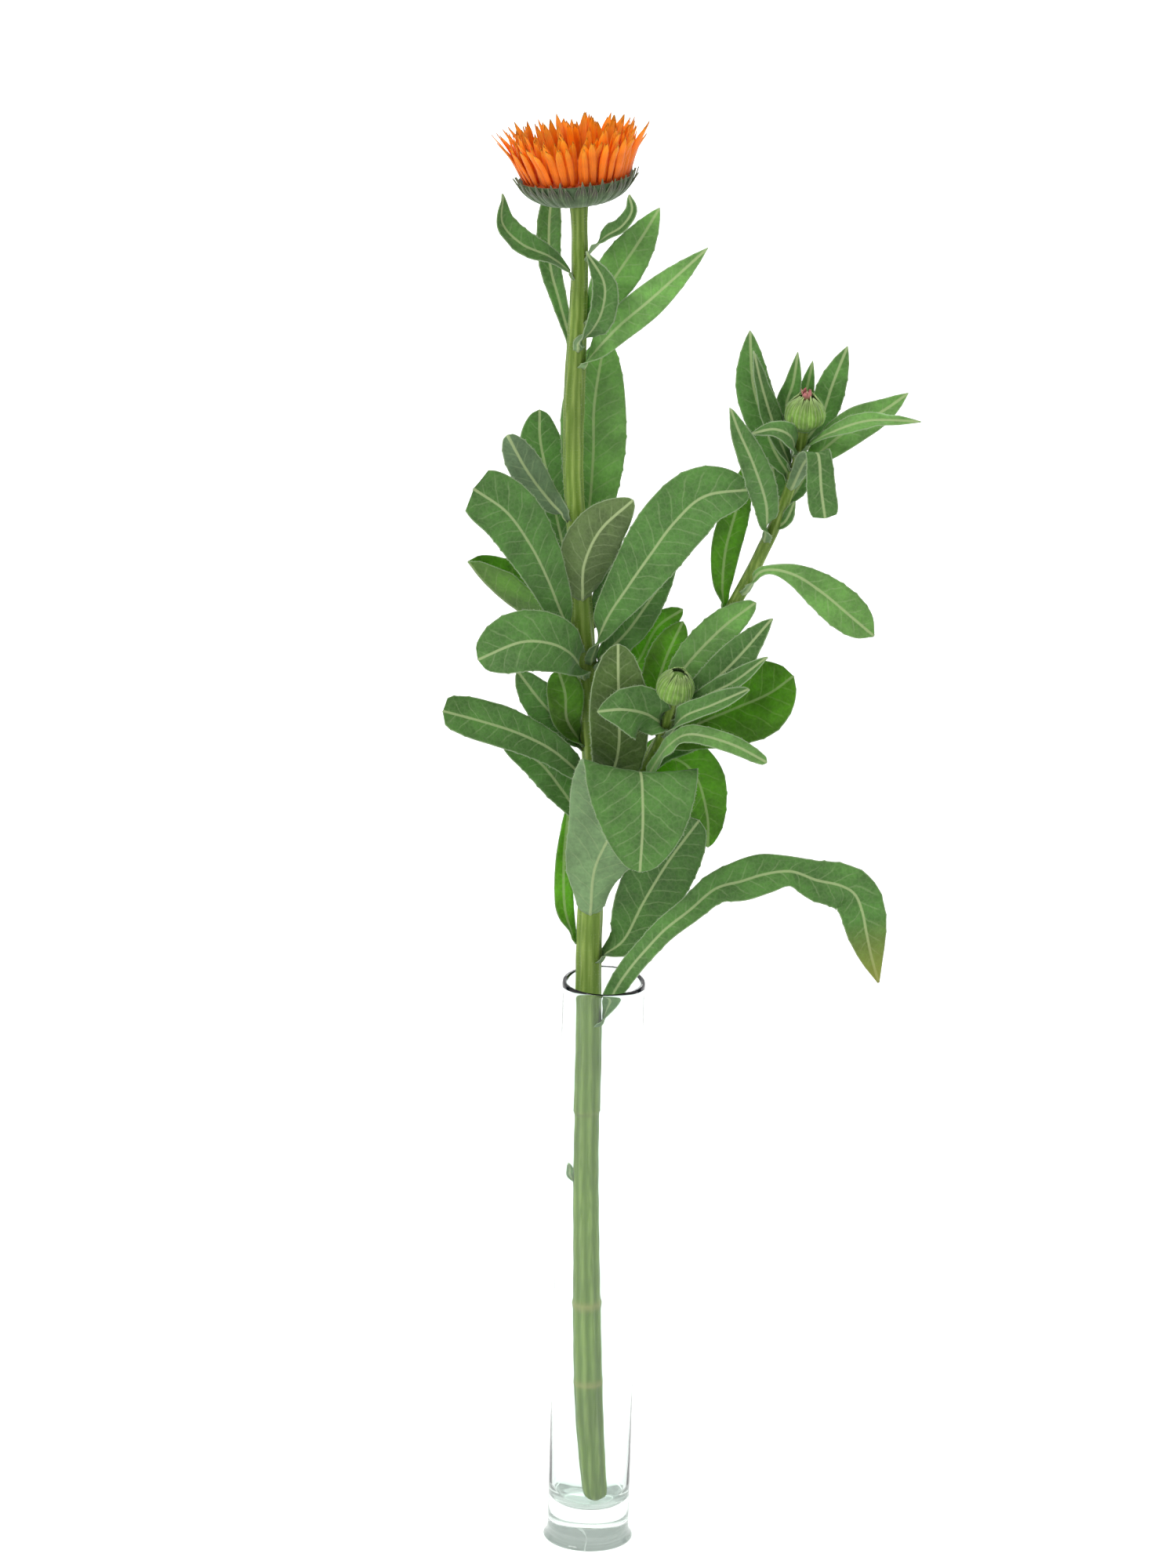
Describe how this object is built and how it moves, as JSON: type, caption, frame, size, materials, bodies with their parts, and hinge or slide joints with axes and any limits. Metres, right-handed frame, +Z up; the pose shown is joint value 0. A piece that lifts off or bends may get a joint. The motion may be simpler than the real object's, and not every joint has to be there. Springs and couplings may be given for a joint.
{
  "type": "calendula flower in a vase",
  "caption": "Cut flower stem with an open orange bloom, budded side shoots and hairy leaves, standing in a slender clear glass cylinder.",
  "frame": {"origin": "centre of the underside of the vase's foot", "axes": "+Z up along the vase, +X to the right and -Y towards the front as the picture shows it"},
  "size_m": [0.1544, 0.0924, 0.4966],
  "materials": {
    "glass": "polished",
    "stem": "matte",
    "leaf": "matte",
    "petal": "satin",
    "centre": "matte",
    "bract": "matte",
    "bud": "matte",
    "bud_tip": "satin"
  },
  "bodies": {
    "root": {"vase": "glass", "stem_main": "stem", "stem_right_shoot": "stem", "stem_front_shoot": "stem", "stem_leaflet": "leaf", "bloom_bracts": "bract", "bloom_petals": "petal", "bloom_centre": "centre", "bud_right": "bud", "bud_right_petals": "bud_tip", "bud_front": "bud", "leaf_top_back": "leaf", "leaf_top_back_large": "leaf", "leaf_top_front_folded": "leaf", "leaf_top_left_curled": "leaf", "leaf_top_right_broad": "leaf", "leaf_top_right_long": "leaf", "leaf_top_right_small": "leaf", "leaf_left_back_upper": "leaf", "leaf_left_broad": "leaf", "leaf_left_folded": "leaf", "leaf_left_grey": "leaf", "leaf_left_large": "leaf", "leaf_left_low_long": "leaf", "leaf_left_low_olive": "leaf", "leaf_left_mid_back": "leaf", "leaf_mid_dark_back": "leaf", "leaf_mid_olive": "leaf", "leaf_mid_yellow": "leaf", "leaf_right_bright_arch": "leaf", "leaf_right_large": "leaf", "leaf_right_under_large": "leaf", "leaf_front_large": "leaf", "leaf_front_round_dark": "leaf", "leaf_front_triangular": "leaf", "leaf_low_left_narrow": "leaf", "leaf_low_right_dark": "leaf", "leaf_low_right_drooping": "leaf", "leaf_bud_back_pale": "leaf", "leaf_bud_bright_oval": "leaf", "leaf_bud_dark_long": "leaf", "leaf_bud_light_green": "leaf", "leaf_bud_lower_bright": "leaf", "leaf_bud_lower_pale": "leaf", "leaf_bud_narrow_arch": "leaf", "leaf_bud_pale_inner": "leaf", "leaf_bud_right_large": "leaf", "leaf_shoot_bud_back": "leaf", "leaf_shoot_bud_left": "leaf", "leaf_shoot_bud_right": "leaf", "leaf_shoot_drooping_dark": "leaf", "leaf_shoot_left": "leaf", "leaf_shoot_left_back": "leaf", "leaf_shoot_left_narrow": "leaf", "leaf_shoot_right_pale": "leaf", "leaf_shoot_right_upper": "leaf", "leaf_shoot_spreading": "leaf", "leaf_shoot_tall": "leaf", "leaf_shoot_tall_inner": "leaf"}
  },
  "joints": []
}
